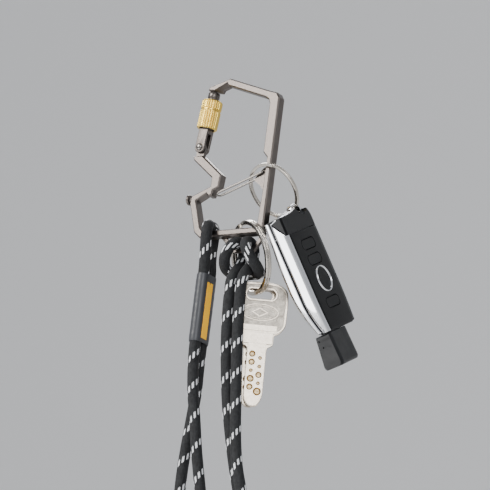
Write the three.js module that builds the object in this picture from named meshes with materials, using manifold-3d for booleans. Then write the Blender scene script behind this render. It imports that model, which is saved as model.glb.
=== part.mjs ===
// Carabiner keyring: a hooked titanium-style carabiner with a screw-lock gate and a wire gate,
// two split rings, two house keys, an electronic car key and a doubled rope lanyard.
// Millimetres, +Z up, front face towards -Y. Origin: middle of the strap seat under the top bar.
import * as THREE from 'three';
import { mergeVertices } from 'three/addons/utils/BufferGeometryUtils.js';
import Module from 'manifold-3d';

const wasm = await Module();
wasm.setup();

// ---------------------------------------------------------------- driving dimensions
const GAP = 0.35; // clearance kept between neighbouring pieces
const PLATE = 5.8; // thickness of the carabiner plate
const CHAMFER = 0.7; // chamfer on the plate's edges
const PIVOT = { x: -25.3, z: -28.5 }; // main gate hinge
const GATE_LEAN = 6.5; // degrees the main gate leans to the right
const STEM_R = 3.1; // gate stem radius
const STEM_TOP = 30.2; // gate stem top, along the gate from its hinge
const SLEEVE = { r: 5.45, bore: 3.45, bottom: 10.4, top: 25.9 };
const RIVET_R = 1.1;
const TAB_HALF = 1.15; // half thickness of the hinge tab between the fork plates
const WIRE_R = 0.6; // wire gate wire radius
const WIRE_HALF = 1.95; // wire legs stand this far either side of the fin
const WIRE_PIVOT = { x: 15.6, z: -45.2 };
const WIRE_NOSE = { x: -12.2, z: -55.1 };
const FIN_HALF = 1.0;
const EYE = { x: 8, y: 1.2, half: 1.0, top: -78.9, bottom: -85.4 };
const CORD_R = 2.9;
const SPLICE = { x: -12.5, halfX: 3.4, halfY: 6.5, top: -99.0, bottom: -135.2 };
const RING_A = { at: [18.7, 5.7, -52.9], turn: -11, tilt: -42, r: 14.6, radial: 0.75, axial: 0.8 };
const RING_B = { at: [10.3, 4.8, -89.1], turn: -31, tilt: -20, r: 18.3, radial: 1.15, axial: 1.5 };
const KEY = { turn: 35, lean: 1.7, thick: 2.2, front: 0, back: -13 }; // angles along the lower ring, in degrees
const FOB = { turn: 88, pitch: -17, roll: -30, x: -8, w: 36, front: -4.5, split: 2.4, seam: -64, cap: -11 };
// Back of the car key, bulging in the middle and running out at the nose; each point is [y, z].
const FOB_BACK = [[6.9, FOB.cap], [7.9, -20], [8.4, -29], [8.5, -41], [7.2, -52], [5.4, -58.5], [3.6, FOB.seam]];
const FOB_RING_ANGLE = 30; // where the car key hangs, degrees to the right of the ring's lowest point

const rad = THREE.MathUtils.degToRad;

// ---------------------------------------------------------------- materials
const metal = (color, roughness) => new THREE.MeshStandardMaterial({ color, roughness, metalness: 1 });
const plain = (color, roughness) => new THREE.MeshStandardMaterial({ color, roughness, metalness: 0 });
const titanium = metal(0xa9a49e, 0.45);
const steel = metal(0xc9c5bd, 0.25);
const nickel = metal(0xcfc8bc, 0.38);
const brass = metal(0xe0bd55, 0.35);
const chrome = metal(0xe8e8ea, 0.08);
const blackGloss = plain(0x0c0d0e, 0.12);
const blackMatte = plain(0x1b1c1d, 0.55);
const rubber = plain(0x141414, 0.8);
const boardGreen = plain(0x1f5a35, 0.5);
const cordBlack = plain(0x1a1b1d, 0.9);
const sleeveGrey = plain(0x55585b, 0.6);
const stripeYellow = plain(0xf0b400, 0.5);

// ---------------------------------------------------------------- solids
function solid(geometry) {
  const bare = geometry.index ? geometry.clone() : geometry;
  bare.deleteAttribute('normal');
  bare.deleteAttribute('uv');
  const merged = mergeVertices(bare, 1e-4);
  return new wasm.Manifold(new wasm.Mesh({
    numProp: 3,
    vertProperties: new Float32Array(merged.attributes.position.array),
    triVerts: new Uint32Array(merged.index.array),
  }));
}

function geometryOf(manifold) {
  const mesh = manifold.getMesh();
  const geometry = new THREE.BufferGeometry();
  geometry.setAttribute('position', new THREE.BufferAttribute(new Float32Array(mesh.vertProperties), 3));
  geometry.setIndex(new THREE.BufferAttribute(new Uint32Array(mesh.triVerts), 1));
  return geometry;
}

function join(...geometries) {
  return geometryOf(geometries.map(solid).reduce((all, next) => all.add(next)));
}

function cut(base, ...tools) {
  return geometryOf(tools.map(solid).reduce((left, tool) => left.subtract(tool), solid(base)));
}

const box = (x, y, z, cx = 0, cy = 0, cz = 0) => new THREE.BoxGeometry(x, y, z).translate(cx, cy, cz);

// A cylinder along X, Y or Z between two stations.
function rod(axis, r, from, to, at = [0, 0, 0], sides = 20) {
  const g = new THREE.CylinderGeometry(r, r, to - from, sides).translate(0, (from + to) / 2, 0);
  if (axis === 'x') g.rotateZ(-Math.PI / 2);
  if (axis === 'z') g.rotateX(Math.PI / 2);
  return g.translate(...at);
}

// A body of revolution about Z; each point is [radius, height].
function turned(points, sides = 24) {
  return new THREE.LatheGeometry(points.map(([r, z]) => new THREE.Vector2(r, z)), sides).rotateX(Math.PI / 2);
}

function outline(points) {
  return new THREE.Shape(points.map(([x, z]) => new THREE.Vector2(x, z)));
}

// A plate in the XZ plane, centred on y, with its edges chamfered.
function plate(shape, thickness, chamfer = 0, y = 0, curveSegments = 8) {
  const g = new THREE.ExtrudeGeometry(shape, {
    depth: thickness - 2 * chamfer, curveSegments, bevelEnabled: chamfer > 0,
    bevelThickness: chamfer, bevelSize: chamfer, bevelOffset: -chamfer, bevelSegments: 1,
  });
  return g.translate(0, 0, chamfer - thickness / 2).rotateX(Math.PI / 2).translate(0, y, 0);
}

// A rounded rectangle with its middle at cx, cz.
function roundRect(w, h, r, cx = 0, cz = 0) {
  const s = new THREE.Shape();
  const [x0, x1, z0, z1] = [cx - w / 2, cx + w / 2, cz - h / 2, cz + h / 2];
  s.moveTo(x0 + r, z0);
  s.lineTo(x1 - r, z0);
  s.absarc(x1 - r, z0 + r, r, -Math.PI / 2, 0);
  s.lineTo(x1, z1 - r);
  s.absarc(x1 - r, z1 - r, r, 0, Math.PI / 2);
  s.lineTo(x0 + r, z1);
  s.absarc(x0 + r, z1 - r, r, Math.PI / 2, Math.PI);
  s.lineTo(x0, z0 + r);
  s.absarc(x0 + r, z0 + r, r, Math.PI, Math.PI * 1.5);
  return s;
}

// A round tube along a smooth curve through the points.
function tube(points, r, steps, sides = 8) {
  const path = new THREE.CatmullRomCurve3(points.map((p) => new THREE.Vector3(...p)), false, 'centripetal');
  const ring = Array.from({ length: sides }, (_, i) => {
    const a = (i / sides) * Math.PI * 2;
    return new THREE.Vector2(r * Math.cos(a), r * Math.sin(a));
  });
  return new THREE.ExtrudeGeometry(new THREE.Shape(ring), { steps, extrudePath: path, bevelEnabled: false });
}

// ---------------------------------------------------------------- scene graph
const group = new THREE.Group();

function add(name, geometry, material, parent = group) {
  const mesh = new THREE.Mesh(geometry, material);
  mesh.name = name;
  parent.add(mesh);
  return mesh;
}

// ---------------------------------------------------------------- carabiner frame
function frameOutline() {
  return outline([
    [-28.6, -33.3], [-28.0, -35.5], [-15.4, -46.1], [-15.5, -50.8], [-26.6, -55.4], [-27.0, -59.6],
    [-22.2, -75.4], [-18.6, -78.6], [17.6, -78.6], [20.5, -76.0], [20.9, -5.0], [19.2, -2.3],
    [13.9, -0.7], [-11.3, 8.1], [-23.2, 4.6], [-24.2, 3.9], [-24.2, 2.5], [-17.2, 1.4],
    [-16.2, 3.0], [-12.5, 4.4], [12.5, -4.4], [14.2, -5.6], [15.2, -8.0],
    [14.9, -34.5], [17.6, -37.6], [17.3, -56.0], [16.4, -73.4], [14.6, -75.2], [-16.6, -75.2],
    [-18.6, -73.0], [-23.2, -57.9], [-17.4, -54.8], [-16.3, -56.0], [-14.2, -56.0],
    [-13.5, -53.0], [-10.3, -51.7], [-9.6, -44.7], [-22.9, -33.3],
  ].reverse());
}

// Wedge that bevels the nose: from a line on its front face, back and down to its lower rear edge.
function noseBevel() {
  const from = new THREE.Vector3(-21.4, -PLATE / 2, 2.0);
  const along = new THREE.Vector3(7.6, 0, 3.7).normalize();
  const down = new THREE.Vector3(4.2, 4.4, -0.6);
  const out = down.clone().cross(along).normalize();
  const basis = new THREE.Matrix4().makeBasis(along, out.clone().cross(along), out).setPosition(from);
  return box(15, 16, 8, 2.5, 0, 4).applyMatrix4(basis);
}

function carabinerFrame() {
  const body = plate(frameOutline(), PLATE, CHAMFER);
  // Fin on the spine that carries the wire gate.
  const fin = plate(outline([
    [17.9, -41.5], [15.4, -42.9], [13.6, -44.6], [10.9, -47.9], [10.6, -49.4], [14.1, -51.8],
    [16.1, -54.2], [17.9, -57.5],
  ].reverse()), 2 * FIN_HALF);
  // Hinge tab between the fork plates of the main gate.
  const tab = plate(outline([
    [-27.7, -34.6], [-23.6, -34.6], [-22.6, -29.2], [-23.3, -26.6], [-25.3, -25.8], [-27.2, -26.7],
    [-27.9, -29.0],
  ].reverse()), 2 * TAB_HALF);
  // Lanyard eye under the bottom bar.
  const eyeRing = outline([
    [-7.5, -78.0], [2.0, -87.4], [14.5, -87.4], [20.0, -80.0], [20.2, -77.4], [17.0, -77.4],
  ].reverse());
  eyeRing.holes.push(outline([[-3.2, EYE.top], [3.2, EYE.bottom], [13.2, EYE.bottom], [17.5, EYE.top]]));
  const eye = plate(eyeRing, 2 * EYE.half, 0.35, EYE.y);
  // Tongue under the nose that the slotted gate closes on.
  const lean = rad(GATE_LEAN);
  const tongue = box(3.4, 1.0, 4.6, -1.2, 0, 29.6).rotateY(lean).translate(PIVOT.x, 0, PIVOT.z);
  const whole = join(cut(body, noseBevel()), fin, tab, eye, tongue);
  return cut(whole,
    rod('y', RIVET_R + 0.06, -3, 3, [PIVOT.x, 0, PIVOT.z]),
    rod('y', WIRE_R + GAP, -3, 3, [WIRE_PIVOT.x, 0, WIRE_PIVOT.z], 12),
    rod('x', 1.3 + GAP, -28.5, -24.6, [0, 0, -56.6], 12));
}

function sideStud() {
  return turned([[0, 0], [2.8, 0], [2.8, 1.7], [2.3, 2.2], [1.3, 2.2], [1.3, 5.2], [0, 5.2]], 20)
    .rotateY(Math.PI / 2).translate(-30.4, 0, -56.6);
}

// ---------------------------------------------------------------- main gate
function gateStem() {
  const fork = plate(roundRect(5.6, 12.4, 2.75, 0, 3.4), 2 * 2.95, 0.5);
  const barrel = turned([[0, 8.0], [STEM_R, 8.0], [STEM_R, STEM_TOP - 0.4], [STEM_R - 0.4, STEM_TOP], [0, STEM_TOP]]);
  const slot = 2 * (TAB_HALF + GAP);
  return cut(join(fork, barrel),
    box(9, slot, 13.2, 0, 0, 1.0),
    rod('y', RIVET_R + 0.06, -4, 4),
    rod('z', 1.6, 6.0, 17.4),
    box(5.2, 1.0 + 2 * GAP, 4.4, -1.4, 0, STEM_TOP - 1.6));
}

const pushRod = () => turned([[0, 4.4], [0.9, 4.7], [0.9, 8.0], [1.2, 8.0], [1.2, 9.2], [0, 9.2]], 12);

// Closed coil spring in the gate's bore.
function gateSpring() {
  const turns = 5;
  const perTurn = 10;
  const points = Array.from({ length: turns * perTurn + 1 }, (_, i) => {
    const a = (i / perTurn) * Math.PI * 2;
    return [0.85 * Math.cos(a), 0.85 * Math.sin(a), 9.9 + (i / (turns * perTurn)) * 6.6];
  });
  return tube(points, 0.22, turns * perTurn, 5);
}

// Knurled screw sleeve: facets all round, a groove a third of the way down, a seat for its ring.
function lockSleeve() {
  const { r, bore, bottom, top } = SLEEVE;
  const groove = top - (top - bottom) / 3;
  return turned([
    [bore, bottom + 2.2], [4.4, bottom + 2.2], [4.4, bottom], [r - 0.5, bottom], [r, bottom + 0.5],
    [r, groove - 0.35], [r - 0.45, groove - 0.35], [r - 0.45, groove + 0.35], [r, groove + 0.35],
    [r, top - 0.5], [r - 0.5, top], [bore, top], [bore, bottom + 2.2],
  ], 28);
}

const sleeveRing = () => turned([
  [3.5, 10.9], [3.75, 10.6], [3.85, 10.6], [4.05, 10.9], [4.05, 11.8], [3.85, 12.2], [3.75, 12.2],
  [3.5, 11.8], [3.5, 10.9],
], 20);

const rivet = () => turned([
  [0, -4.2], [1.3, -3.9], [1.9, -3.3], [RIVET_R, -3.3], [RIVET_R, 3.3], [1.9, 3.3], [1.3, 3.9], [0, 4.2],
], 16).rotateX(Math.PI / 2).translate(PIVOT.x, 0, PIVOT.z);

// ---------------------------------------------------------------- wire gate
// One bent wire: in from each end of the hole, down both legs and round the nose.
function wireGate() {
  const along = new THREE.Vector2(WIRE_NOSE.x - WIRE_PIVOT.x, WIRE_NOSE.z - WIRE_PIVOT.z);
  const length = along.length();
  const dir = along.clone().normalize();
  const point = (d, y) => [WIRE_PIVOT.x + dir.x * d, y, WIRE_PIVOT.z + dir.y * d];
  const bend = 0.85;
  const half = [
    point(0, 0.3), point(0, 0.7), point(0, WIRE_HALF - bend), point(bend * 0.3, WIRE_HALF - bend * 0.3),
    point(bend, WIRE_HALF), point(4, WIRE_HALF), point(length * 0.5, WIRE_HALF),
    point(length - WIRE_HALF, WIRE_HALF),
  ];
  const nose = [45, 90, 135].map((deg) => point(
    length - WIRE_HALF + WIRE_HALF * Math.sin(rad(deg)), WIRE_HALF * Math.cos(rad(deg)),
  ));
  const back = half.map(([x, y, z]) => [x, -y, z]).reverse();
  return tube([...half, ...nose, ...back], WIRE_R, 52, 8);
}

// ---------------------------------------------------------------- split rings
// Local frame: the ring lies in the XZ plane, axis Y; two coils side by side.
function splitRing({ r, radial, axial }) {
  const c = 0.3 * radial;
  const g = 0.12;
  return turned([
    [r - radial, -axial + c], [r - radial + c, -axial], [r + radial - c, -axial], [r + radial, -axial + c],
    [r + radial, -g], [r + radial - g, 0], [r + radial, g], [r + radial, axial - c],
    [r + radial - c, axial], [r - radial + c, axial], [r - radial, axial - c], [r - radial, -axial + c],
  ], 48).rotateX(Math.PI / 2);
}

// A group turned to face the ring's own direction, at the ring's centre.
function ringGroup({ at, turn, tilt }) {
  const holder = new THREE.Group();
  holder.position.set(...at);
  holder.rotation.set(-rad(tilt), 0, rad(turn), 'ZXY');
  group.add(holder);
  return holder;
}

// A point on the ring's centre line, measured from its lowest point towards +X.
function ringPoint(ring, degrees) {
  const a = rad(degrees);
  const p = new THREE.Vector3(ring.r * Math.sin(a), 0, -ring.r * Math.cos(a));
  return p.applyEuler(new THREE.Euler(-rad(ring.tilt), 0, rad(ring.turn), 'ZXY')).add(new THREE.Vector3(...ring.at));
}

// ---------------------------------------------------------------- house keys
// Local frame: the ring wire crosses at the origin, blade down.
function houseKey() {
  const s = new THREE.Shape();
  const [cx, half, top, bow] = [1.9, 14.0, 5.2, -22.0];
  const bladeHalf = 4.9;
  s.moveTo(cx - 8.6, top - 0.5);
  s.quadraticCurveTo(cx, top + 0.7, cx + 8.6, top - 0.5);
  s.quadraticCurveTo(cx + half - 0.6, top - 2.6, cx + half, top - 9);
  s.lineTo(cx + half, bow + 6);
  s.quadraticCurveTo(cx + half - 0.4, bow + 0.6, cx + 8.3, bow - 0.4);
  s.lineTo(cx + 8.3, bow - 5.0);
  s.quadraticCurveTo(cx + 7.6, bow - 7.0, cx + 6.4, bow - 7.0);
  s.lineTo(cx + bladeHalf, bow - 8.4);
  s.lineTo(cx + bladeHalf - 0.2, -55.0);
  s.lineTo(cx + 0.6, -60.6);
  s.lineTo(cx - 1.4, -60.6);
  s.lineTo(cx - bladeHalf + 0.2, -57.0);
  s.lineTo(cx - bladeHalf, bow - 8.4);
  s.lineTo(cx - 6.4, bow - 7.0);
  s.quadraticCurveTo(cx - 7.6, bow - 7.0, cx - 8.3, bow - 5.0);
  s.lineTo(cx - 8.3, bow - 0.4);
  s.quadraticCurveTo(cx - half + 0.4, bow + 0.6, cx - half, bow + 6);
  s.lineTo(cx - half, top - 9);
  s.quadraticCurveTo(cx - half + 0.6, top - 2.6, cx - 8.6, top - 0.5);
  s.holes.push(roundRect(14.8, 5.2, 2.55, cx, -0.95));
  const dimples = [-33.5, -38.5, -43.0, -48.5].map((z, i) =>
    new THREE.CylinderGeometry(1.1, 0.7, 1, 10).translate(0, -KEY.thick / 2, 0)
      .translate(cx + (i % 2 ? 1.9 : -1.9), 0, z));
  return cut(plate(s, KEY.thick, 0.25, 0, 5), ...dimples);
}

function addKey(name, angle) {
  const holder = new THREE.Group();
  holder.position.copy(ringPoint(RING_B, angle));
  holder.rotation.set(0, -rad(KEY.lean), rad(KEY.turn), 'ZXY');
  group.add(holder);
  add(name, houseKey(), nickel, holder);
}

// ---------------------------------------------------------------- car key
// Local frame: origin on the ring wire, front face towards -Y, nose down; the body's middle is at FOB.x.
const RAIL = 1.6;
const WALL = 1.4;
const fobInner = FOB.w - 2 * (RAIL + GAP);
const fobMid = (FOB.cap + FOB.seam) / 2;
const BUTTONS = { fob_lock_button: -18.5, fob_unlock_button: -27.0, fob_boot_button: -50.5 };
const EMBLEM_Z = -38;

// A slab across the key: its side outline is given as [y, z] points, its edges are chamfered.
function slab(points, x0, x1, chamfer = 0) {
  return plate(outline(points), x1 - x0, chamfer).rotateZ(Math.PI / 2).translate((x0 + x1) / 2, 0, 0);
}

// The back profile drawn in by an inset, from top to bottom.
const backLine = (inset, end) => FOB_BACK.map(([y, z], i) => {
  const ends = { 0: FOB.cap - end, [FOB_BACK.length - 1]: FOB.seam + end };
  return [y - inset, ends[i] ?? z];
});

function sideOf(y0, inset, end) {
  return [[y0, FOB.cap - end], [y0, FOB.seam + end], ...backLine(inset, end).reverse()];
}

const fobX = (half) => [FOB.x - half, FOB.x + half];

function fobFrontShell() {
  const back = FOB.split - 0.3;
  const outer = slab([[FOB.front, FOB.cap], [FOB.front, FOB.seam], [back, FOB.seam], [back, FOB.cap]],
    ...fobX(fobInner / 2), 0.5);
  const inside = box(fobInner - 2 * WALL, 12, FOB.cap - FOB.seam - 2 * WALL, FOB.x, FOB.front + WALL + 6, fobMid);
  const wells = Object.values(BUTTONS).map((z) =>
    plate(roundRect(15 + 2 * GAP, 5.6 + 2 * GAP, 2.8, FOB.x, z), 5, 0, FOB.front, 4));
  const groove = turned([[6.0, -0.9], [7.6, -0.9], [7.6, 1], [6.0, 1], [6.0, -0.9]], 28)
    .rotateX(Math.PI / 2).translate(FOB.x, FOB.front, EMBLEM_Z);
  return cut(outer, inside, ...wells, groove, box(8.4, 2.9, 4, FOB.x, 0.1, FOB.cap));
}

function fobBackShell() {
  const front = FOB.split + 0.3;
  const outer = slab(sideOf(front, 0, 0), ...fobX(fobInner / 2), 0.5);
  const inside = slab(sideOf(front - 3, WALL, WALL), ...fobX(fobInner / 2 - WALL));
  const latchWay = plate(roundRect(11.4, 4.4, 1.0, FOB.x, -16.5), 6, 0, 7.8, 2);
  return cut(outer, inside, latchWay);
}

function fobRail(side, half) {
  const x = FOB.x + side * (FOB.w / 2 - RAIL / 2);
  const y = half === 'front' ? FOB.split - 0.3 : FOB.split + 0.3;
  const z = [FOB.cap - 0.5, FOB.seam + 0.5];
  const points = half === 'front'
    ? [[FOB.front + 0.3, z[0]], [FOB.front + 0.3, z[1]], [y, z[1]], [y, z[0]]]
    : sideOf(y, 0.3, 0.5);
  return slab(points, x - RAIL / 2, x + RAIL / 2, 0.25);
}

// Cap of the mechanical key: full width, with the ring hole in a lug near its far corner.
function fobKeyHead() {
  const z0 = FOB.cap + GAP;
  const z1 = 1.2;
  const lug = { thick: 3.4, top: 3.2 };
  const halfW = FOB.w / 2 - 0.5;
  const cap = slab([[FOB.front + 0.2, z0], [6.7, z0], [5.4, z1], [FOB.front + 0.2, z1]], ...fobX(halfW), 1.2);
  const trim = join(plate(roundRect(2 * halfW, 20, 3.6, FOB.x, z1 - 10), 20, 0, 0, 4));
  const whole = geometryOf(solid(cap).intersect(solid(trim)));
  const cheek = (side) => box(13.5, 7, 11, 3.0, side * (lug.thick / 2 + 3.5), 0.7);
  const eyelet = plate(roundRect(11.2, 8.6, 3.6, 0.9, lug.top - 4.3), lug.thick, 0.4, 0, 4);
  const hole = plate(roundRect(7.4, 4.6, 2.2, 0.4, -0.5), 20, 0, 0, 4);
  return cut(join(cut(whole, cheek(-1), cheek(1)), eyelet), hole, box(7.4, 2.4, 5, FOB.x, 0.05, z0));
}

function fobKeyBlade() {
  return plate(outline([
    [-3.2, -9.1], [3.2, -9.1], [3.2, -42.6], [1.6, -46.6], [-1.4, -46.6], [-3.2, -44.1],
  ].reverse()), 1.5, 0.2, 0.05).translate(FOB.x, 0, 0);
}

function fobNose() {
  const [x0, x1] = [-25.4, -4.5];
  const body = slab([[-4.2, FOB.seam - GAP], [-4.7, -80.8], [-3.8, -82.2], [6.0, -82.2], [6.9, -80.8],
    [4.8, FOB.seam - GAP]], x0, x1, 0.8);
  const grooves = [-67.5, -70.8].map((z) => box(1.2, 6.2, 1.0, x0, 0.6, z));
  return cut(body, ...grooves);
}

const fobEmblem = () => turned([
  [6.35, -0.5], [7.25, -0.5], [7.25, 0.5], [6.35, 0.5], [6.35, -0.5],
], 28).rotateX(Math.PI / 2).translate(FOB.x, FOB.front - 0.05, EMBLEM_Z);

const fobButton = (z) => plate(roundRect(15, 5.6, 2.6, FOB.x, z), 1.9, 0.3, FOB.front + 0.75, 4);
const fobLatch = () => plate(roundRect(8.0, 3.6, 0.8, FOB.x - 1.2, -16.5), 1.9, 0.3, 7.1, 2);

function addFob() {
  const holder = new THREE.Group();
  holder.position.copy(ringPoint(RING_A, FOB_RING_ANGLE));
  holder.rotation.set(rad(FOB.pitch), rad(FOB.roll), rad(FOB.turn), 'ZXY');
  group.add(holder);
  add('fob_key_head', fobKeyHead(), blackGloss, holder);
  add('fob_key_blade', fobKeyBlade(), steel, holder);
  add('fob_front_shell', fobFrontShell(), blackGloss, holder);
  add('fob_back_shell', fobBackShell(), blackGloss, holder);
  for (const [end, side] of [['near', -1], ['far', 1]]) {
    for (const half of ['front', 'back']) add(`fob_rail_${end}_${half}`, fobRail(side, half), chrome, holder);
  }
  add('fob_nose', fobNose(), blackMatte, holder);
  add('fob_emblem_ring', fobEmblem(), chrome, holder);
  for (const [name, z] of Object.entries(BUTTONS)) add(name, fobButton(z), blackGloss, holder);
  add('fob_latch_slider', fobLatch(), blackMatte, holder);
  add('fob_circuit_board', box(25, 1.0, 44, FOB.x, -1.6, fobMid), boardGreen, holder);
  add('fob_battery', rod('y', 10, 1.2, 4.2, [FOB.x, 0, -42], 28), steel, holder);
}

// ---------------------------------------------------------------- lanyard
// Bight hung over the bottom bar, both legs running down into the splice sleeve.
function lanyardBight() {
  return tube([
    [-12.4, -3.15, -98.3], [-12.4, -3.25, -96.4], [-12.1, -4.3, -90.0], [-11.5, -6.0, -82.5],
    [-11.6, -6.25, -76.6], [-12.3, -4.9, -73.4], [-13.1, -2.6, -72.2], [-13.5, 0, -71.95],
    [-13.9, 2.6, -72.2], [-14.7, 4.9, -73.4], [-15.5, 6.25, -76.6], [-15.5, 6.0, -82.5],
    [-14.1, 4.3, -90.0], [-12.6, 3.25, -96.4], [-12.6, 3.15, -98.3],
  ], CORD_R, 36);
}

// Shrunk sleeve round both legs: flat sides towards +X and -X.
function lanyardSleeve() {
  const s = roundRect(2 * SPLICE.halfX, 2 * SPLICE.halfY, SPLICE.halfX - 0.05, SPLICE.x, 0);
  return new THREE.ExtrudeGeometry(s, { depth: SPLICE.top - SPLICE.bottom, bevelEnabled: false, curveSegments: 8 })
    .translate(0, 0, SPLICE.bottom);
}

const lanyardStripe = () => box(0.4, 5.0, 29.8, SPLICE.x + SPLICE.halfX + 0.26, -0.9, -118.2);

// Cow hitch on the eye: each strand goes up behind the rim, forward through the eye and down
// round the side, and the two lobes join behind the strands.
function lanyardHitch() {
  const left = [
    [-3.3, -2.5, -106.0], [-3.3, -2.45, -104.2], [-3.2, -0.6, -99.4], [-3.2, 3.6, -94.0], [-3.15, 5.8, -88.2],
    [-3.1, 4.9, -84.0], [-3.2, 1.2, -82.15], [-3.4, -2.6, -83.0], [-5.2, -5.2, -86.6],
    [-7.9, -4.0, -91.6], [-9.4, 0.6, -95.6], [-7.2, 6.4, -97.2],
  ];
  const right = left.map(([x, y, z]) => [-x, y, z]).reverse();
  return tube([...left, [0, 9.8, -96.4], ...right].map(([x, y, z]) => [EYE.x + x, y, z]), CORD_R, 60);
}

// Free strands: from the sleeve down, round and back up to the hitch, one inside the other.
const STRAND_INNER = [
  [-12.4, -3.15, -135.7], [-12.2, -3.2, -141.0], [-11.5, -3.2, -150.0], [-9.7, -3.2, -162.8],
  [-6.9, -3.2, -175.2], [-3.1, -3.2, -193.6], [0.0, -3.2, -206.0], [2.6, -3.2, -216.5],
  [4.0, -3.0, -227.0], [5.6, -2.4, -236.5], [9.6, -1.2, -245.2], [16.2, 0.2, -249.2],
  [22.8, 1.6, -245.4], [27.0, 2.6, -236.8], [25.6, 3.1, -226.0], [21.6, 3.0, -215.5],
  [16.6, 2.5, -199.2], [12.6, 1.0, -181.2], [10.0, -0.5, -166.4], [7.9, -2.0, -148.6],
  [6.8, -2.4, -139.5], [5.2, -2.5, -122.0], [4.7, -2.5, -110.0], [4.7, -2.5, -106.7],
];
const STRAND_OUTER = [
  [-12.6, 3.15, -135.7], [-12.6, 3.2, -145.4], [-12.3, 3.2, -160.6], [-13.1, 3.2, -172.7],
  [-14.4, 3.2, -190.7], [-14.9, 3.2, -202.9], [-14.8, 3.2, -214.4], [-13.8, 3.2, -229.0],
  [-9.8, 3.0, -244.0], [-2.2, 2.4, -256.0], [8.4, 1.0, -262.2], [19.0, -0.8, -260.6],
  [28.0, -2.4, -252.6], [32.8, -3.3, -241.0], [31.8, -3.6, -230.0], [27.9, -3.6, -217.6],
  [22.8, -3.6, -201.6], [19.2, -3.4, -183.1], [17.1, -3.0, -167.7], [14.6, -2.6, -149.2],
  [13.5, -2.5, -140.0], [12.0, -2.5, -121.7], [11.4, -2.5, -110.0], [11.3, -2.5, -106.7],
];

// ---------------------------------------------------------------- assembly
add('carabiner_frame', carabinerFrame(), titanium);
add('side_stud', sideStud(), titanium);
add('gate_pivot_rivet', rivet(), steel);

const gate = new THREE.Group();
gate.position.set(PIVOT.x, 0, PIVOT.z);
gate.rotation.y = rad(GATE_LEAN);
group.add(gate);
add('gate_stem', gateStem(), titanium, gate);
add('gate_push_rod', pushRod(), steel, gate);
add('gate_spring', gateSpring(), steel, gate);
add('lock_sleeve', lockSleeve(), brass, gate);
add('sleeve_friction_ring', sleeveRing(), rubber, gate);

add('wire_gate', wireGate(), steel);

add('upper_split_ring', splitRing(RING_A), steel, ringGroup(RING_A));
add('lower_split_ring', splitRing(RING_B), steel, ringGroup(RING_B));
addKey('house_key_front', KEY.front);
addKey('house_key_back', KEY.back);
addFob();

add('lanyard_bight', lanyardBight(), cordBlack);
add('lanyard_sleeve', lanyardSleeve(), sleeveGrey);
add('lanyard_stripe', lanyardStripe(), stripeYellow);
add('lanyard_hitch', lanyardHitch(), cordBlack);
add('lanyard_strand_inner', tube(STRAND_INNER, CORD_R, 40), cordBlack);
add('lanyard_strand_outer', tube(STRAND_OUTER, CORD_R, 44), cordBlack);

export default group;
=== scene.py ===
"""Carabiner keyring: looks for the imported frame. Lengths are millimetres until MM turns them to metres."""
import math

import bpy
import bmesh
from mathutils import Matrix, Vector


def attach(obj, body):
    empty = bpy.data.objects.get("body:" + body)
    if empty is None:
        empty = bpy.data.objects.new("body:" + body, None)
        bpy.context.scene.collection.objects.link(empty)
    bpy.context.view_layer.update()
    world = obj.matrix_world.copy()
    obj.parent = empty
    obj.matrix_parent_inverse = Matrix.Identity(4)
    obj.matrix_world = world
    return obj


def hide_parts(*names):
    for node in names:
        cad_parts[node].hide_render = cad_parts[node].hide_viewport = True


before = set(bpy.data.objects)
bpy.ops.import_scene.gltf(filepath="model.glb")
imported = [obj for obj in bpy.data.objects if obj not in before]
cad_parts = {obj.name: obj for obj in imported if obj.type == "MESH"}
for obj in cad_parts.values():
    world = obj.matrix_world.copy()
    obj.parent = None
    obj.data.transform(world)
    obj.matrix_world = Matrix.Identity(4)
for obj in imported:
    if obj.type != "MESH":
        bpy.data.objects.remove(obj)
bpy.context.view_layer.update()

# ------------------------------------------------------------------ driving dimensions, in mm
MM = 0.001
CAMERA_DISTANCE = 2.5  # metres
VIEW_WIDTH, VIEW_CENTRE = 253.886, (-2.30, -78.8)  # centre: to the right and up, as the camera sees it
CORD_D = 5.8
CORD_COLUMNS = 16
TRACER_PITCH = 16.4
STITCH = 0.95
CORD_STEP, CORD_SIDES = 0.24, 96
PLAIN_BRAID_UV = (0.03, 4.0)
BRASS_RIBS = 24
SLEEVE_TOP, SLEEVE_BOTTOM, SLEEVE_X = -99.0, -135.2, -12.5
PIVOT = (-25.3, 0, -28.5)
GATE_LEAN = 6.5
RING_A = {"at": (18.7, 5.7, -52.9), "turn": -11, "tilt": -42, "r": 14.6, "radial": 0.80, "coil": 0.84}
RING_B = {"at": (10.3, 4.8, -89.1), "turn": -31, "tilt": -20, "r": 18.3, "radial": 1.15, "coil": 1.42}
KEY = {"turn": 35, "lean": 1.7, "thick": 2.2, "front": 0, "back": -13}
FOB = {"turn": 88, "pitch": -17, "roll": -30, "x": -8, "w": 36, "front": -4.5, "cap": -11}
FOB_RING_ANGLE = 30
BUTTON_Z, LATCH_Z = (-18.5, -27.0, -50.5), -16.5
FOB_BACK = [
    (0, 5.6), (-6, 6.4), (-11, 6.9), (-20, 7.9), (-29, 8.4), (-41, 8.5), (-52, 7.2), (-58.5, 5.4), (-64, 3.6),
]

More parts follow.
